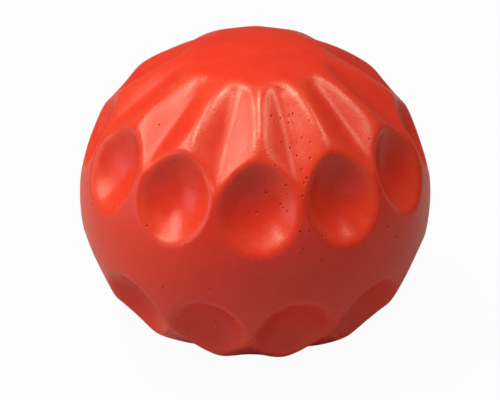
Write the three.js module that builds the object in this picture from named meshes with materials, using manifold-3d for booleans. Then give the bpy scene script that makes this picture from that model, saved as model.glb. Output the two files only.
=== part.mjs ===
// A dimpled high-bounce foam ball: a solid polyurethane foam core inside a dense skin.
// The skin comes from a two-part mould, so it is two half shells that meet at the parting plane.
// Each half carries a row of round dimples beside the plain equator band and, nearer the pole,
// a row of shallow flutes that rise from between the dimples to a plain, slightly flattened cap.
// Millimetres, +Z up. The origin is the middle of the small flat that the soft ball rests on.
import * as THREE from "three";
import { mergeVertices } from "three/addons/utils/BufferGeometryUtils.js";
import Module from "manifold-3d";

const wasm = await Module();
wasm.setup();

// Driving dimensions, in millimetres
const ballDiameter = 65; // across the plain equator band
const ballHeight = 60.2; // from pole to pole, before the resting flat
const restFlatDiameter = 10; // contact patch that the soft ball rests on
const skinThickness = 1.2; // dense skin, measured square to the surface
const bondGap = 0.3; // between the skin and the foam core
const dimpleCutterRadius = 14.5; // ball-ended cutter of the round dimples
const dimpleDepth = 3.3; // below the plain surface, at the dimple's middle
const fluteTipRadius = 4; // round tip of the conical flute cutter
const fluteLowDepth = 0.45; // below the plain surface, where the flute starts between two dimples
const fluteHighDepth = 0.9; // below the plain surface, where the flute ends under the cap

// Driving counts and angles, in degrees
const hollowsPerRow = 12;
const dimpleLatitude = 24;
const fluteLowLatitude = 32.3;
const fluteHighLatitude = 60.6;
const fluteFlankAngle = 15.5; // of the conical cutter's flank against the ball's surface
const lowerHalfTurn = 13; // how far the lower mould half is turned against the upper one

// Facets: the outer surface is finer than the two hidden ones
const outerFacets = { around: 48, quarter: 10, dimpleAround: 16, dimpleRings: 18, tip: 2, cone: 16 };
const hiddenFacets = { around: 24, quarter: 5, dimpleAround: 8, dimpleRings: 12, tip: 1, cone: 8 };

// Finishes
const skinColour = "#d83a24";
const skinRoughness = 0.42;
const foamColour = "#e2593c";
const foamRoughness = 0.9;

// Points this close together, and latitudes this close in radians, count as one
const weldDistance = 1e-4;
const latitudeTolerance = 1e-9;

const equatorRadius = ballDiameter / 2;
const poleFlattening = equatorRadius - ballHeight / 2;
const radians = THREE.MathUtils.degToRad;

// The plain surface at a latitude: its point and outward normal in the plane of radius and height.
// Its distance from the centre shrinks with the fourth power of the sine, which keeps the sides round.
function plainSurface(latitude) {
  const sine = Math.sin(latitude);
  const cosine = Math.cos(latitude);
  const distance = equatorRadius - poleFlattening * sine ** 4;
  const slope = -4 * poleFlattening * sine ** 3 * cosine;
  const point = new THREE.Vector2(distance * cosine, distance * sine);
  const normal = new THREE.Vector2(slope * sine + distance * cosine, distance * sine - slope * cosine);
  return { point, normal: normal.normalize() };
}

// Latitude at which the plain surface is this far from the axis, found by halving.
function latitudeAtRadius(radius) {
  let low = 0;
  let high = Math.PI / 2;
  while (high - low > latitudeTolerance) {
    const middle = (low + high) / 2;
    if (plainSurface(middle).point.x > radius) {
      low = middle;
    } else {
      high = middle;
    }
  }
  return low;
}

const restLatitude = latitudeAtRadius(restFlatDiameter / 2);
const centreHeight = plainSurface(restLatitude).point.y;

// A closed three.js geometry as a solid that can be joined and cut.
function solidFrom(geometry) {
  const bare = geometry.clone();
  bare.deleteAttribute("normal");
  bare.deleteAttribute("uv");
  const merged = mergeVertices(bare, weldDistance);
  return new wasm.Manifold(
    new wasm.Mesh({
      numProp: 3,
      vertProperties: merged.attributes.position.array,
      triVerts: new Uint32Array(merged.index.array),
    }),
  );
}

function geometryFrom(solid) {
  const mesh = solid.getMesh();
  const geometry = new THREE.BufferGeometry();
  geometry.setAttribute("position", new THREE.BufferAttribute(mesh.vertProperties, 3));
  geometry.setIndex(new THREE.BufferAttribute(mesh.triVerts, 1));
  geometry.computeVertexNormals();
  return geometry;
}

// One mould half's plain form, set in by an even amount and revolved from a floor up to its pole.
// It ends at the pole, or in a flat at an earlier latitude.
function plainHalf(inset, facets, endLatitude, floor) {
  const profile = [new THREE.Vector2(0, floor), new THREE.Vector2(equatorRadius - inset, floor)];
  for (let step = floor < 0 ? 0 : 1; step <= facets.quarter; step++) {
    const latitude = ((Math.PI / 2) * step) / facets.quarter;
    const { point, normal } = plainSurface(Math.min(latitude, endLatitude));
    profile.push(point.addScaledVector(normal, -inset));
  }
  const end = profile.at(-1);
  if (endLatitude < Math.PI / 2) {
    profile.push(new THREE.Vector2(0, end.y));
  } else {
    end.x = 0;
  }
  return solidFrom(new THREE.LatheGeometry(profile, facets.around).rotateX(Math.PI / 2));
}

// The meridian plane's own axes at a longitude. Longitude 0 faces -Y and grows towards +X.
function meridian(longitude) {
  const outward = new THREE.Vector3(Math.sin(longitude), -Math.cos(longitude), 0);
  const east = new THREE.Vector3(Math.cos(longitude), Math.sin(longitude), 0);
  const at = (flat) => outward.clone().multiplyScalar(flat.x).setZ(flat.y);
  return { east, at };
}

// Moves a cutter so that its Z axis points along up, its X axis east and its origin to place.
function placed(cutter, east, up, place) {
  const north = new THREE.Vector3().crossVectors(up, east);
  return solidFrom(cutter.clone().applyMatrix4(new THREE.Matrix4().makeBasis(east, north, up).setPosition(place)));
}

// Every cutter grows by the inset, so that the wall under a hollow keeps its thickness.
function cutDimple(half, inset, facets, longitude) {
  const { east, at } = meridian(longitude);
  const { point, normal } = plainSurface(radians(dimpleLatitude));
  const cutter = new THREE.SphereGeometry(dimpleCutterRadius + inset, facets.dimpleAround, facets.dimpleRings);
  const middle = point.addScaledVector(normal, dimpleCutterRadius - dimpleDepth);
  return half.subtract(placed(cutter.rotateX(Math.PI / 2), east, at(normal), at(middle)));
}

// Half section of the conical flute cutter, from the bottom of its round tip to the end of its flank.
function coneSection(inset, facets) {
  const flank = radians(fluteFlankAngle);
  const section = [];
  for (let step = 0; step <= facets.tip; step++) {
    const angle = (flank * step) / facets.tip;
    section.push(new THREE.Vector2(Math.sin(angle), -Math.cos(angle)).multiplyScalar(fluteTipRadius + inset));
  }
  const alongFlank = new THREE.Vector2(Math.cos(flank), Math.sin(flank));
  section.push(section[facets.tip].clone().addScaledVector(alongFlank, equatorRadius));
  return section;
}

// Where the middle of the flute cutter's round tip stands when it cuts to a depth at a latitude.
function tipMiddle(latitude, depth) {
  const { point, normal } = plainSurface(radians(latitude));
  return point.addScaledVector(normal, fluteTipRadius - depth);
}

// A flute: the cutter goes in between two dimples and is drawn straight up to the end under the cap.
function cutFlute(half, inset, facets, longitude) {
  const { east, at } = meridian(longitude);
  const low = tipMiddle(fluteLowLatitude, fluteLowDepth);
  const high = tipMiddle(fluteHighLatitude, fluteHighDepth);
  const along = high.clone().sub(low);
  const up = new THREE.Vector2(along.y, -along.x).normalize();
  const section = coneSection(inset, facets);
  const mirrored = section.slice(1).reverse().map(({ x, y }) => new THREE.Vector2(-x, y));
  const groove = new THREE.ExtrudeGeometry(new THREE.Shape([...mirrored, ...section]), {
    depth: along.length(),
    bevelEnabled: false,
  });
  const top = new THREE.Vector2(0, section.at(-1).y);
  const cone = new THREE.LatheGeometry([...section, top], facets.cone).rotateX(Math.PI / 2);
  let cut = half.subtract(placed(groove.rotateX(Math.PI / 2), east, at(up), at(high)));
  for (const end of [low, high]) {
    cut = cut.subtract(placed(cone, east, at(up), at(end)));
  }
  return cut;
}

// One half with its two rows of hollows, set in by an even amount.
function hollowedHalf(inset, facets, endLatitude, floor) {
  const step = (2 * Math.PI) / hollowsPerRow;
  let half = plainHalf(inset, facets, endLatitude, floor);
  for (let place = 0; place < hollowsPerRow; place++) {
    half = cutFlute(half, inset, facets, (place + 0.5) * step);
    half = cutDimple(half, inset, facets, place * step);
  }
  return half;
}

// The skin of one half: an even wall, open at the parting plane.
function skinHalf(endLatitude) {
  const space = hollowedHalf(skinThickness, hiddenFacets, Math.PI / 2, -skinThickness);
  return geometryFrom(hollowedHalf(0, outerFacets, endLatitude, 0).subtract(space));
}

// The foam that fills both skins: two like halves, joined at the parting plane.
function core() {
  const upper = hollowedHalf(skinThickness + bondGap, hiddenFacets, Math.PI / 2, 0);
  const lower = geometryFrom(upper).rotateX(Math.PI).rotateZ(radians(lowerHalfTurn));
  return geometryFrom(upper.add(solidFrom(lower)));
}

function part(name, geometry, colour, roughness) {
  const mesh = new THREE.Mesh(geometry, new THREE.MeshStandardMaterial({ color: colour, roughness, metalness: 0 }));
  mesh.name = name;
  return mesh;
}

const upperSkin = part("upper_skin", skinHalf(Math.PI / 2), skinColour, skinRoughness);
const lowerSkin = part("lower_skin", skinHalf(restLatitude), skinColour, skinRoughness);
lowerSkin.rotation.x = Math.PI;
const lowerMouldHalf = new THREE.Group();
lowerMouldHalf.rotation.z = radians(lowerHalfTurn);
lowerMouldHalf.add(lowerSkin);

const ball = new THREE.Group();
ball.position.z = centreHeight;
ball.add(upperSkin, lowerMouldHalf, part("foam_core", core(), foamColour, foamRoughness));

const foamBall = new THREE.Group();
foamBall.add(ball);

export default foamBall;
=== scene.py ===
"""A dimpled high-bounce foam ball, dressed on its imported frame.

Both half skins get the full moulded form: round dimples and V-shaped flutes with softly rounded rims,
the slight waviness of a foam moulding and fine pinholes. The foam core inside them gets its open cells.
Lengths are in millimetres and angles in degrees until a mesh, a lamp or the camera is made.
"""
import math

import bmesh
import bpy
import numpy as np
from mathutils import Matrix, Vector, noise


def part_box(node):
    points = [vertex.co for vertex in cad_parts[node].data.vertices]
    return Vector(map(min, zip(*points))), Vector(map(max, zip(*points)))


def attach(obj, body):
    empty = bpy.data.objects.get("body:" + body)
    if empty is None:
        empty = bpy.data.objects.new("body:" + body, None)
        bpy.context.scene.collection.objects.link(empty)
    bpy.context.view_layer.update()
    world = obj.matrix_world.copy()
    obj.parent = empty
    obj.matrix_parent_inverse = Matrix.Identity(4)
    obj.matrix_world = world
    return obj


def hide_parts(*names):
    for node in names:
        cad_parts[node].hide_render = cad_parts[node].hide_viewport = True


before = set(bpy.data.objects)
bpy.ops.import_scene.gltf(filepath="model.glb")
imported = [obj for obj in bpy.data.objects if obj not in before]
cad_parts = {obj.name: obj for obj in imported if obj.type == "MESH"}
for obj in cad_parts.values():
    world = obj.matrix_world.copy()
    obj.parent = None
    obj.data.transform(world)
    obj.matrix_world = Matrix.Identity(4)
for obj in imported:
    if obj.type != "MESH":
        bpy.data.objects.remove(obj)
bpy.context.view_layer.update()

MM = 0.001

# Plain form of the ball, read from the frame
upper_low, upper_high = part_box("upper_skin")
EQUATOR_RADIUS = (upper_high.x - upper_low.x) / 2 / MM
POLE_RADIUS = (upper_high.z - upper_low.z) / MM
POLE_FLATTENING = EQUATOR_RADIUS - POLE_RADIUS
PARTING_HEIGHT = upper_low.z / MM

# Skin and rows of hollows, placed as in the solids
SKIN_THICKNESS = 1.2
BOND_GAP = 0.3
HOLLOWS_PER_ROW = 12
DIMPLE_LATITUDE = 24
FLUTE_LOW_LATITUDE = 32.3
FLUTE_HIGH_LATITUDE = 60.6
LOWER_HALF_TURN = 13

# Cutters of the hollows, fitted more closely to the photograph than those of the solids
DIMPLE_CUTTER_RADIUS = 11
DIMPLE_DEPTH = 3.9
DIMPLE_NARROWING = 0.85  # from east to west
FLUTE_TIP_RADIUS = 4.8
FLUTE_FLANK_ANGLE = 17.5
FLUTE_LOW_DEPTH = 0.41
FLUTE_HIGH_DEPTH = 0.91
FLUTE_SLANT_LIMIT = 0.5  # keeps the depth of a flute within bounds far away from it
NEAR_DIMPLES = (-1, 0, 1)  # in steps from the nearest dimple's meridian
NEAR_FLUTES = (-1.5, -0.5, 0.5, 1.5)  # in the same steps

# Moulded detail that the solids leave out
DIMPLE_RIM_LATITUDES = (12, 34)
DIMPLE_RIM_SOFTNESS = (1.1, 0.6)  # at those latitudes
FLUTE_RIM_SOFTNESS = 0.44
WAVE_COUNT = 28
WAVE_HEIGHT = 0.035
WAVE_LENGTHS = (7, 22)
WAVE_SEED = 11
PINHOLE_RADII = (0.08, 0.26)
PINHOLE_SIZE_SPREAD = (1.2, 2.6)  # beta distribution that favours the small ones
PINHOLE_STEEPNESS = 1.3  # depth of a pinhole in its own radii
PINHOLE_CLEARANCE = 3  # lowest latitude of a pinhole
SCATTERED_PINHOLES = 70
GATHERED_PINHOLES = 42
GATHERED_LONGITUDE = 14
GATHERED_SPREAD = 7
GATHERED_LATITUDES = (8, 66)
UPPER_PINHOLE_SEED = 11
LOWER_PINHOLE_SEED = 12
CELL_SIZE = 1.6
CELL_DEPTH = 0.35
CELL_WALL_WIDTH = 0.35  # both slopes of a wall between two cells, in cell sizes

# Mesh rows along one side of a half's square net
SKIN_NET = 280
INSIDE_RATIO = 5  # outer steps to one inside step
INSIDE_NET = SKIN_NET // INSIDE_RATIO
CORE_NET = 180  # puts edge points half a degree apart, so that those of the turned half meet them
PINHOLE_CUTS = 3
PINHOLE_MARGIN = 0.5
PLANE_TOLERANCE = 0.001  # points this near the parting plane lie on it
WELD_DISTANCE = 0.05

# Finish of the skin
NOISE_MEAN = 0.5
SKIN_COLOURS = ("#de2d1c", "#e83d26")
# wear and painted sheen: a paler colour on the rims, standing partly for wear and partly for the sheen
# that rims catch
WORN_AND_SHEEN_COLOUR = "#f2603c"
SPECK_COLOUR = "#a02010"
# painted shade: the darker colour in the pinholes stands for the shade inside these small pits
PINHOLE_SHADE_COLOUR = "#a41a10"
CLOUD_SIZE = 15
MOTTLE_SIZE = 2.2
GRAIN_SIZE = 0.45
SPECK_SIZE = 0.7
SPECK_LEVELS = (0.7, 0.78)
CLOUD_CONTRAST = 1.3
MOTTLE_CONTRAST = 0.7
WORN_AND_SHEEN_SHARE = 0.4
SPECK_SHARE = 0.12
SKIN_ROUGHNESS = 0.31
CLOUD_ROUGHNESS = 0.12
MOTTLE_ROUGHNESS = 0.2
RIM_POLISH = 0.04
PINHOLE_ROUGHNESS = 0.3
MOTTLE_RELIEF = 0.6
GRAIN_RELIEF = 0.75
SPECK_RELIEF = 0.25
SKIN_BUMP_STRENGTH = 0.5
SKIN_BUMP_HEIGHT = 0.06
SKIN_IOR = 1.48

# Finish of the foam core
WALL_COLOUR = "#ee7a58"
# painted shade: the darker colour inside the foam's cells
CELL_SHADE_COLOUR = "#c9442b"
FOAM_MOTTLE_COLOUR = "#dd5a3c"
FOAM_MOTTLE_SIZE = 4
FOAM_GRAIN_SIZE = 0.4
CELL_SHADE_SHARE = 0.8
FOAM_MOTTLE_SHARE = 0.4
FOAM_ROUGHNESS = 0.85
FOAM_GRAIN_ROUGHNESS = 0.2
FOAM_BUMP_STRENGTH = 0.4
FOAM_BUMP_HEIGHT = 0.1

# Floor and room: both look white, and the room lights the ball only a little
WHITE = (1, 1, 1, 1)
FLOOR_REACH = 3000
FLOOR_COLOUR = (0.52, 0.47, 0.52, 1)
FLOOR_WHITENESS = 0.96
ROOM_LIGHT = 0.1
ROOM_WHITENESS = 0.87

# Soft lights: direction from the ball, width, height, watts and tint
LIGHT_DISTANCE = 500
SOFT_YELLOW = (1, 0.98, 0.76)
WARM_YELLOW = (1, 0.96, 0.7)
NEAR_WHITE = (1, 0.98, 1)
ROSE = (1, 0.72, 0.8)
SOFTBOXES = {
    "left_softbox": ((-0.9, -0.17, 1), 340, 140, 1.12, SOFT_YELLOW),
    "overhead_left": ((-0.36, -0.1, 1), 170, 64, 0.76, WARM_YELLOW),
    "overhead_middle": ((0.04, -0.02, 1), 120, 56, 0.74, WARM_YELLOW),
    "overhead_right": ((0.58, 0, 1), 150, 66, 0.36, WARM_YELLOW),
    "low_reflector": ((-0.95, -0.2, 0.18), 400, 200, 0.38, NEAR_WHITE),
    "front_fill": ((0.25, -1, 0.1), 700, 200, 0.19, ROSE),
}

# Camera, fitted to the photograph's 500 by 400 frame
IMAGE_WIDTH = 500
IMAGE_HEIGHT = 400
SENSOR_WIDTH = 36
FOCAL_PIXELS = 1917
BALL_PIXEL = (255, 191.8)
CAMERA_DISTANCE = 357
CAMERA_ELEVATION = 29
CAMERA_LONGITUDE = -1.26
CAMERA_ROLL = 0.75
CAMERA_CLIP_START = 10

# Places of the ball's centre and of the lower half, which is turned over and then about the pole axis
CENTRE = Vector((0, 0, PARTING_HEIGHT * MM))
UPPER_PLACE = Matrix.Identity(4)
LOWER_PLACE = Matrix.Rotation(math.radians(LOWER_HALF_TURN), 4, "Z") @ Matrix.Rotation(math.pi, 4, "X")


def plain_distance(sine):
    """Distance of the plain surface from the centre, by the sine of the latitude."""
    return EQUATOR_RADIUS - POLE_FLATTENING * sine**4


def above_plain(latitude, height):
    """The point at a height above the plain surface, in radius and distance from the parting plane."""
    angle = math.radians(latitude)
    sine, cosine = math.sin(angle), math.cos(angle)
    distance = plain_distance(sine)
    slope = -4 * POLE_FLATTENING * sine**3 * cosine
    normal = np.array([slope * sine + distance * cosine, distance * sine - slope * cosine])
    return distance * np.array([cosine, sine]) + height * normal / np.linalg.norm(normal)


def on_meridian(flat, longitude):
    """A point or direction given in radius and height, turned to a longitude. Longitude 0 faces -Y."""
    angle = math.radians(longitude)
    return np.array([flat[0] * math.sin(angle), -flat[0] * math.cos(angle), flat[1]])


def east_of(longitude):
    """The level direction that points east at a longitude."""
    return on_meridian((1, 0), longitude + 90)


def dimple_depth(direction, longitude):
    """How far a round dimple goes below the plain surface along each direction, negative beside it."""
    middle = on_meridian(above_plain(DIMPLE_LATITUDE, DIMPLE_CUTTER_RADIUS - DIMPLE_DEPTH), longitude)
    east = east_of(longitude)
    aside = (direction @ east)[:, None] * east
    direction = direction + (1 / DIMPLE_NARROWING - 1) * aside
    direction = direction / np.linalg.norm(direction, axis=1)[:, None]
    along = direction @ middle
    chord = along**2 - middle @ middle + DIMPLE_CUTTER_RADIUS**2
    near = np.where(chord > 0, along - np.sqrt(np.abs(chord)), 2 * EQUATOR_RADIUS)
    return plain_distance(direction[:, 2]) - near


def flute_depth(direction, longitude):
    """How far a V-shaped flute goes below the plain surface along each direction, negative beside it."""
    low = above_plain(FLUTE_LOW_LATITUDE, FLUTE_TIP_RADIUS - FLUTE_LOW_DEPTH)
    high = above_plain(FLUTE_HIGH_LATITUDE, FLUTE_TIP_RADIUS - FLUTE_HIGH_DEPTH)
    length = np.linalg.norm(high - low)
    heading = (high - low) / length
    along = on_meridian(heading, longitude)
    up = on_meridian((heading[1], -heading[0]), longitude)
    point = direction * plain_distance(direction[:, 2])[:, None] - on_meridian(low, longitude)
    beyond = point @ along - np.clip(point @ along, 0, length)
    aside = np.hypot(point @ east_of(longitude), beyond)
    flank = math.radians(FLUTE_FLANK_ANGLE)
    tip_half_width = FLUTE_TIP_RADIUS * math.sin(flank)
    tip = -np.sqrt(FLUTE_TIP_RADIUS**2 - np.minimum(aside, tip_half_width) ** 2)
    bottom = tip + np.maximum(aside - tip_half_width, 0) * math.tan(flank)
    return (point @ up - bottom) / np.maximum(direction @ up, FLUTE_SLANT_LIMIT)


def soft_maximum(levels, softness):
    """The highest of several levels with rounded changeovers, and how much each point lies in one."""
    levels = np.stack(levels)
    top = levels.max(0)
    shares = np.exp((levels - top) / softness)
    total = shares.sum(0)
    return top + softness * np.log(total), 2 * (1 - 1 / total)


def hollows(direction):
    """Depth of the hollows below the plain surface of one mould half, and how much a point is on a rim."""
    step = 360 / HOLLOWS_PER_ROW
    longitude = np.degrees(np.arctan2(direction[:, 0], -direction[:, 1]))
    folded = np.radians(longitude - step * np.round(longitude / step))
    reach = np.hypot(direction[:, 0], direction[:, 1])
    folded = np.stack([reach * np.sin(folded), -reach * np.cos(folded), direction[:, 2]], 1)
    flutes = [flute_depth(folded, place * step) for place in NEAR_FLUTES]
    dimples = [dimple_depth(folded, place * step) for place in NEAR_DIMPLES]
    fluted, flute_rim = soft_maximum([np.zeros(len(direction))] + flutes, FLUTE_RIM_SOFTNESS)
    rim_sines = np.sin(np.radians(DIMPLE_RIM_LATITUDES))
    softness = np.interp(direction[:, 2], rim_sines, DIMPLE_RIM_SOFTNESS)
    depth, dimple_rim = soft_maximum([fluted] + dimples, softness)
    return depth, np.clip(np.maximum(flute_rim, dimple_rim), 0, 1)


def waviness(direction):
    """The slight unevenness of a foam moulding: a sum of gentle waves in all directions."""
    chance = np.random.default_rng(WAVE_SEED)
    height = np.zeros(len(direction))
    for _ in range(WAVE_COUNT):
        heading = chance.normal(size=3)
        heading /= np.linalg.norm(heading)
        turns = EQUATOR_RADIUS / chance.uniform(*WAVE_LENGTHS)
        height += np.sin(2 * math.pi * (turns * direction @ heading + chance.uniform()))
    return WAVE_HEIGHT * height / math.sqrt(WAVE_COUNT / 2)


def pinholes(seed, gathered):
    """Directions and radii of one half's pinholes: a thin scatter, and some gathered in a strip."""
    chance = np.random.default_rng(seed)
    lowest = math.sin(math.radians(PINHOLE_CLEARANCE))
    sines = chance.uniform(lowest, 1, SCATTERED_PINHOLES)
    longitudes = chance.uniform(-180, 180, SCATTERED_PINHOLES)
    strip = np.sin(np.radians(chance.uniform(*GATHERED_LATITUDES, gathered)))
    sines = np.concatenate([sines, strip])
    longitudes = np.concatenate([longitudes, chance.normal(GATHERED_LONGITUDE, GATHERED_SPREAD, gathered)])
    angles = np.radians(longitudes)
    reach = np.sqrt(1 - sines**2)
    middles = np.stack([reach * np.sin(angles), -reach * np.cos(angles), sines], 1)
    smallest, largest = PINHOLE_RADII
    radii = smallest + (largest - smallest) * chance.beta(*PINHOLE_SIZE_SPREAD, len(sines))
    return middles, radii


def net_directions(rows):
    """Directions of a square net laid evenly over a half ball, its edge along the parting plane."""
    across = np.linspace(-1, 1, rows + 1)
    u, v = (grid.ravel() for grid in np.meshgrid(across, across))
    wide = np.abs(u) > np.abs(v)
    reach = np.where(wide, u, v)
    other = np.where(wide, v, u) / np.where(reach == 0, 1, reach)
    angle = np.where(wide, math.pi / 4 * other, math.pi / 2 - math.pi / 4 * other)
    radius = reach * np.sqrt(2 - reach**2)
    return np.stack([radius * np.cos(angle), radius * np.sin(angle), 1 - reach**2], 1)


def net_faces(rows):
    """Four-sided faces of a square net, and the point numbers along its edge in order."""
    numbers = np.arange((rows + 1) ** 2).reshape(rows + 1, rows + 1)
    corners = (numbers[:-1, :-1], numbers[:-1, 1:], numbers[1:, 1:], numbers[1:, :-1])
    faces = np.stack([corner.ravel() for corner in corners], 1)
    edge = np.concatenate([numbers[0, :-1], numbers[:-1, -1], numbers[-1, :0:-1], numbers[:0:-1, 0]])
    return faces, edge


def half_shell():
    """A closed half shell on the unit ball: a fine outer net, a coarse inner one and a ring between."""
    faces, edge = net_faces(SKIN_NET)
    inside_faces, inside_edge = net_faces(INSIDE_NET)
    first_inside = (SKIN_NET + 1) ** 2
    ring = []
    for place in range(len(inside_edge)):
        outer = [edge[(place * INSIDE_RATIO + step) % len(edge)] for step in range(INSIDE_RATIO, -1, -1)]
        inner = [inside_edge[(place + step) % len(inside_edge)] + first_inside for step in (0, 1)]
        ring.append(outer + inner)
    directions = np.concatenate([net_directions(SKIN_NET), net_directions(INSIDE_NET)])
    inward = (inside_faces + first_inside)[:, ::-1]
    form = bmesh.new()
    inset = form.verts.layers.float.new("inset")
    points = [form.verts.new(direction) for direction in directions]
    for point in points[first_inside:]:
        point[inset] = SKIN_THICKNESS
    for face in faces.tolist() + inward.tolist() + ring:
        form.faces.new([points[number] for number in face])
    return form


def refine_at_pinholes(form, middles, radii):
    """Splits the outer net's edges round each pinhole, so that it can be drawn in."""
    form.verts.index_update()
    inset = form.verts.layers.float["inset"]
    directions = np.array([point.co[:] for point in form.verts])
    outer = np.array([point[inset] == 0 for point in form.verts])
    near = np.zeros(len(directions), bool)
    for middle, radius in zip(middles, radii):
        apart = EQUATOR_RADIUS * np.linalg.norm(directions - middle, axis=1)
        near |= apart < radius + PINHOLE_MARGIN
    near &= outer
    picked = [edge for edge in form.edges if near[edge.verts[0].index] and near[edge.verts[1].index]]
    bmesh.ops.subdivide_edges(form, edges=picked, cuts=PINHOLE_CUTS, use_grid_fill=True)


def moulded(direction, place, middles, radii):
    """Outer distance of one half from the centre, with how much each point is on a rim or in a pinhole."""
    depth, rim = hollows(direction)
    pit = np.zeros(len(direction))
    sunk = np.zeros(len(direction))
    for middle, radius in zip(middles, radii):
        apart = EQUATOR_RADIUS * np.linalg.norm(direction - middle, axis=1) / radius
        bowl = np.sqrt(np.clip(1 - apart**2, 0, 1))
        pit = np.maximum(pit, bowl)
        sunk = np.maximum(sunk, PINHOLE_STEEPNESS * radius * bowl)
    wave = waviness(direction @ np.array(place.to_3x3()).T)
    distance = plain_distance(direction[:, 2]) - depth + wave - sunk
    return distance, rim, pit


def smooth_mesh(name, form):
    """Turns a form into a mesh with smooth faces that look outward."""
    bmesh.ops.recalc_face_normals(form, faces=form.faces)
    for face in form.faces:
        face.smooth = True
    mesh = bpy.data.meshes.new(name)
    form.to_mesh(mesh)
    form.free()
    return mesh


def add_piece(name, mesh, place, node, material):
    """Adds a soft piece, its mesh in millimetres about the ball's centre, that stands for a frame node."""
    mesh.transform(Matrix.Translation(CENTRE) @ place @ Matrix.Scale(MM, 4))
    mesh.materials.append(material)
    piece = bpy.data.objects.new(name, mesh)
    bpy.context.scene.collection.objects.link(piece)
    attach(piece, "root")
    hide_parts(node)


def add_half_skin(name, node, place, flat, seed, gathered, material):
    """One half skin, made in the mould's own frame and set in its place on the ball."""
    middles, radii = pinholes(seed, gathered)
    form = half_shell()
    refine_at_pinholes(form, middles, radii)
    inset = form.verts.layers.float["inset"]
    directions = np.array([vertex.co[:] for vertex in form.verts])
    directions /= np.linalg.norm(directions, axis=1)[:, None]
    inward = np.array([vertex[inset] for vertex in form.verts])
    distance, rim, pit = moulded(directions, place, middles, radii)
    points = directions * (distance - inward)[:, None]
    if flat:
        points[:, 2] = np.minimum(points[:, 2], PARTING_HEIGHT - inward)
    for vertex, point in zip(form.verts, points):
        vertex.co = point
    for edge in form.edges:
        edge.smooth = any(abs(vertex.co.z) >= PLANE_TOLERANCE for vertex in edge.verts)
    mesh = smooth_mesh(name, form)
    for value_name, value in (("rim", rim), ("pinhole", pit)):
        layer = mesh.attributes.new(value_name, "FLOAT", "POINT")
        layer.data.foreach_set("value", value.astype(np.float32))
    add_piece(name, mesh, place, node, material)


def add_core(name, node, material):
    """The foam core: both halves' form, set in by the skin and the bond, with open cells all over."""
    faces, _ = net_faces(CORE_NET)
    directions = net_directions(CORE_NET)
    depth, _ = hollows(directions)
    distance = plain_distance(directions[:, 2]) - depth - SKIN_THICKNESS - BOND_GAP
    half = directions * distance[:, None]
    form = bmesh.new()
    cell = form.verts.layers.float.new("cell")
    for place in (UPPER_PLACE, LOWER_PLACE):
        points = []
        for spot in half @ np.array(place.to_3x3()).T:
            gaps, _ = noise.voronoi(Vector(spot) / CELL_SIZE)
            sunk = min(1, (gaps[1] - gaps[0]) / CELL_WALL_WIDTH)
            point = form.verts.new(Vector(spot) - Vector(spot).normalized() * CELL_DEPTH * sunk)
            point[cell] = sunk
            if abs(spot[2]) < PLANE_TOLERANCE:
                point.co.z = 0
            points.append(point)
        for face in faces:
            form.faces.new([points[number] for number in face])
    seam = [point for point in form.verts if point.co.z == 0]
    bmesh.ops.remove_doubles(form, verts=seam, dist=WELD_DISTANCE)
    add_piece(name, smooth_mesh(name, form), UPPER_PLACE, node, material)


def linear(level):
    """One channel of a screen colour, from 0 to 1, as the linear value that shaders take."""
    return level / 12.92 if level <= 0.04045 else ((level + 0.055) / 1.055) ** 2.4


def colour(code):
    """A hex colour as linear values, with full alpha."""
    return [linear(int(code[place : place + 2], 16) / 255) for place in (1, 3, 5)] + [1]


class Value:
    """A shader socket that takes part in Python arithmetic."""

    def __init__(self, finish, socket):
        self.finish = finish
        self.socket = socket

    def maths(self, operation, first, second):
        return self.finish.add("ShaderNodeMath", {"operation": operation}, {0: first, 1: second})

    def __add__(self, other):
        return self.maths("ADD", self, other)

    __radd__ = __add__

    def __sub__(self, other):
        return self.maths("SUBTRACT", self, other)

    def __rsub__(self, other):
        return self.maths("SUBTRACT", other, self)

    def __mul__(self, other):
        return self.maths("MULTIPLY", self, other)

    __rmul__ = __mul__


class Finish:
    """A node tree that is built from calls and expressions."""

    def __init__(self, owner):
        owner.use_nodes = True
        self.tree = owner.node_tree
        self.tree.nodes.clear()

    def add(self, kind, settings=None, inputs=None, out=0):
        """Adds a node, with its settings first and then its sockets' values or links."""
        node = self.tree.nodes.new(kind)
        for name, value in (settings or {}).items():
            setattr(node, name, value)
        for name, value in (inputs or {}).items():
            if isinstance(value, Value):
                self.tree.links.new(value.socket, node.inputs[name])
            else:
                node.inputs[name].default_value = value
        return Value(self, node.outputs[out]) if len(node.outputs) else node

    def mix(self, share, first, second):
        """Mixes two colours. Their sockets share names with others, so they are given by number."""
        return self.add("ShaderNodeMix", {"data_type": "RGBA"}, {0: share, 6: first, 7: second}, 2)

    def noise(self, place, size, detail, roughness):
        inputs = {"Vector": place, "Scale": 1 / (size * MM), "Detail": detail, "Roughness": roughness}
        return self.add("ShaderNodeTexNoise", inputs=inputs)

    def stretch(self, value, low, high):
        inputs = {"Value": value, "From Min": low, "From Max": high}
        return self.add("ShaderNodeMapRange", {"interpolation_type": "SMOOTHSTEP"}, inputs)

    def attribute(self, name):
        return self.add("ShaderNodeAttribute", {"attribute_name": name}, out="Fac")

    def bump(self, height, strength, distance):
        inputs = {"Height": height, "Strength": strength, "Distance": distance * MM}
        return self.add("ShaderNodeBump", inputs=inputs)


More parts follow.
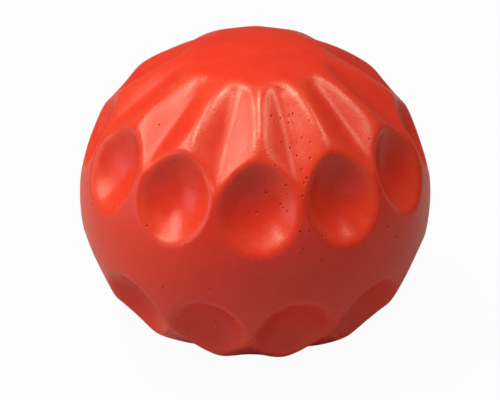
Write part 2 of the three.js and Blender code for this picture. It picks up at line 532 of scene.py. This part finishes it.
def moulded_skin():
    """Dense satin polyurethane: red-orange, a little mottled, paler on its rims from wear and a painted
    sheen, with painted shade darkening its pinholes.
    """
    material = bpy.data.materials.new("moulded_skin")
    skin = Finish(material)
    place = skin.add("ShaderNodeTexCoord", out="Object")
    clouds = skin.noise(place, CLOUD_SIZE, detail=3, roughness=0.55)
    mottle = skin.noise(place, MOTTLE_SIZE, detail=3, roughness=0.6)
    grain = skin.noise(place, GRAIN_SIZE, detail=2, roughness=0.6)
    specks = skin.stretch(skin.noise(place, SPECK_SIZE, detail=1, roughness=0.5), *SPECK_LEVELS)
    rim = skin.attribute("rim")
    pit = skin.attribute("pinhole")
    tone = NOISE_MEAN + CLOUD_CONTRAST * (clouds - NOISE_MEAN) + MOTTLE_CONTRAST * (mottle - NOISE_MEAN)
    base = skin.mix(tone, *(colour(code) for code in SKIN_COLOURS))
    # painted sheen and wear: the rims are coloured paler, partly for wear and partly as a painted sheen on
    # the rims
    worn_and_sheen = skin.mix(rim * mottle * WORN_AND_SHEEN_SHARE, base, colour(WORN_AND_SHEEN_COLOUR))
    speckled = skin.mix(specks * SPECK_SHARE, worn_and_sheen, colour(SPECK_COLOUR))
    # painted shade: the pinholes are coloured darker, as the shade inside the pits
    shade = skin.mix(pit, speckled, colour(PINHOLE_SHADE_COLOUR))
    roughness = (
        SKIN_ROUGHNESS
        + CLOUD_ROUGHNESS * (clouds - NOISE_MEAN)
        + MOTTLE_ROUGHNESS * (mottle - NOISE_MEAN)
        - RIM_POLISH * rim
        + PINHOLE_ROUGHNESS * pit
    )
    height = MOTTLE_RELIEF * mottle + GRAIN_RELIEF * grain - SPECK_RELIEF * specks
    bump = skin.bump(height, SKIN_BUMP_STRENGTH, SKIN_BUMP_HEIGHT)
    inputs = {"Base Color": shade, "Roughness": roughness, "Normal": bump, "IOR": SKIN_IOR}
    surface = skin.add("ShaderNodeBsdfPrincipled", inputs=inputs)
    skin.add("ShaderNodeOutputMaterial", inputs={"Surface": surface})
    return material


def celled_foam():
    """Fine-celled foam under the skin: matt, paler on the cell walls, with painted shade in the cells that
    grows with how far they are sunk.
    """
    material = bpy.data.materials.new("celled_foam")
    foam = Finish(material)
    place = foam.add("ShaderNodeTexCoord", out="Object")
    cell = foam.attribute("cell")
    mottle = foam.noise(place, FOAM_MOTTLE_SIZE, detail=3, roughness=0.6)
    grain = foam.noise(place, FOAM_GRAIN_SIZE, detail=2, roughness=0.6)
    # painted shade: the sunk cells are coloured darker than the walls between them
    base = foam.mix(cell * CELL_SHADE_SHARE, colour(WALL_COLOUR), colour(CELL_SHADE_COLOUR))
    shade = foam.mix(mottle * FOAM_MOTTLE_SHARE, base, colour(FOAM_MOTTLE_COLOUR))
    roughness = FOAM_ROUGHNESS + FOAM_GRAIN_ROUGHNESS * (grain - NOISE_MEAN)
    bump = foam.bump(grain, FOAM_BUMP_STRENGTH, FOAM_BUMP_HEIGHT)
    inputs = {"Base Color": shade, "Roughness": roughness, "Normal": bump}
    surface = foam.add("ShaderNodeBsdfPrincipled", inputs=inputs)
    foam.add("ShaderNodeOutputMaterial", inputs={"Surface": surface})
    return material


def seen_directly(finish):
    """One for what the camera sees straight, and zero for the light that falls on the ball."""
    return finish.add("ShaderNodeLightPath", out="Is Camera Ray")


def add_floor():
    """A plain pale floor that looks white and still keeps the ball's shadow."""
    reach = FLOOR_REACH * MM
    mesh = bpy.data.meshes.new("floor")
    corners = [(-reach, -reach, 0), (reach, -reach, 0), (reach, reach, 0), (-reach, reach, 0)]
    mesh.from_pydata(corners, [], [(0, 1, 2, 3)])
    floor = bpy.data.objects.new("floor", mesh)
    bpy.context.scene.collection.objects.link(floor)
    material = bpy.data.materials.new("pale_floor")
    finish = Finish(material)
    matt = finish.add("ShaderNodeBsdfDiffuse", inputs={"Color": FLOOR_COLOUR})
    white = finish.add("ShaderNodeEmission", inputs={"Color": WHITE, "Strength": 1})
    share = seen_directly(finish) * FLOOR_WHITENESS
    surface = finish.add("ShaderNodeMixShader", inputs={0: share, 1: matt, 2: white})
    finish.add("ShaderNodeOutputMaterial", inputs={"Surface": surface})
    mesh.materials.append(material)


def add_world():
    """A room that looks as white as the floor and lights the ball softly."""
    world = bpy.data.worlds.new("studio")
    finish = Finish(world)
    strength = ROOM_LIGHT + ROOM_WHITENESS * seen_directly(finish)
    room = finish.add("ShaderNodeBackground", inputs={"Color": WHITE, "Strength": strength})
    finish.add("ShaderNodeOutputWorld", inputs={"Surface": room})
    bpy.context.scene.world = world


def add_softbox(name, direction, width, height, power, tint):
    """A soft light that looks at the ball from a direction, its width level."""
    lamp = bpy.data.lights.new(name, "AREA")
    lamp.shape = "RECTANGLE"
    lamp.size = width * MM
    lamp.size_y = height * MM
    lamp.energy = power
    lamp.color = tint
    softbox = bpy.data.objects.new(name, lamp)
    bpy.context.scene.collection.objects.link(softbox)
    heading = Vector(direction).normalized()
    softbox.location = CENTRE + heading * (LIGHT_DISTANCE * MM)
    softbox.rotation_euler = heading.to_track_quat("Z", "Y").to_euler()


def add_camera():
    """The camera at the photograph's angle, aimed so that the ball's centre falls on its pixel."""
    elevation = math.radians(CAMERA_ELEVATION)
    roll = math.radians(CAMERA_ROLL)
    back = Vector(on_meridian((math.cos(elevation), math.sin(elevation)), CAMERA_LONGITUDE))
    level = Vector(east_of(CAMERA_LONGITUDE))
    upright = back.cross(level)
    right = level * math.cos(roll) + upright * math.sin(roll)
    up = upright * math.cos(roll) - level * math.sin(roll)
    sideways = (BALL_PIXEL[0] - IMAGE_WIDTH / 2) / FOCAL_PIXELS
    upwards = (IMAGE_HEIGHT / 2 - BALL_PIXEL[1]) / FOCAL_PIXELS
    aim_back = (back + right * sideways + up * upwards).normalized()
    aim_right = up.cross(aim_back).normalized()
    aim_up = aim_back.cross(aim_right)
    lens = bpy.data.cameras.new("photo_camera")
    lens.sensor_fit = "HORIZONTAL"
    lens.sensor_width = SENSOR_WIDTH
    lens.lens = FOCAL_PIXELS / IMAGE_WIDTH * SENSOR_WIDTH
    lens.clip_start = CAMERA_CLIP_START * MM
    camera = bpy.data.objects.new("photo_camera", lens)
    bpy.context.scene.collection.objects.link(camera)
    turn = Matrix((aim_right, aim_up, aim_back)).transposed().to_4x4()
    camera.matrix_world = Matrix.Translation(CENTRE + back * (CAMERA_DISTANCE * MM)) @ turn
    bpy.context.scene.camera = camera


add_camera()

SKIN = moulded_skin()
FOAM = celled_foam()
add_half_skin(
    "upper_half_skin", "upper_skin", UPPER_PLACE, False, UPPER_PINHOLE_SEED, GATHERED_PINHOLES, SKIN
)
add_half_skin("lower_half_skin", "lower_skin", LOWER_PLACE, True, LOWER_PINHOLE_SEED, 0, SKIN)
add_core("cellular_core", "foam_core", FOAM)

add_floor()
add_world()
for softbox_name, softbox in SOFTBOXES.items():
    add_softbox(softbox_name, *softbox)

bpy.context.scene.view_settings.view_transform = "Standard"
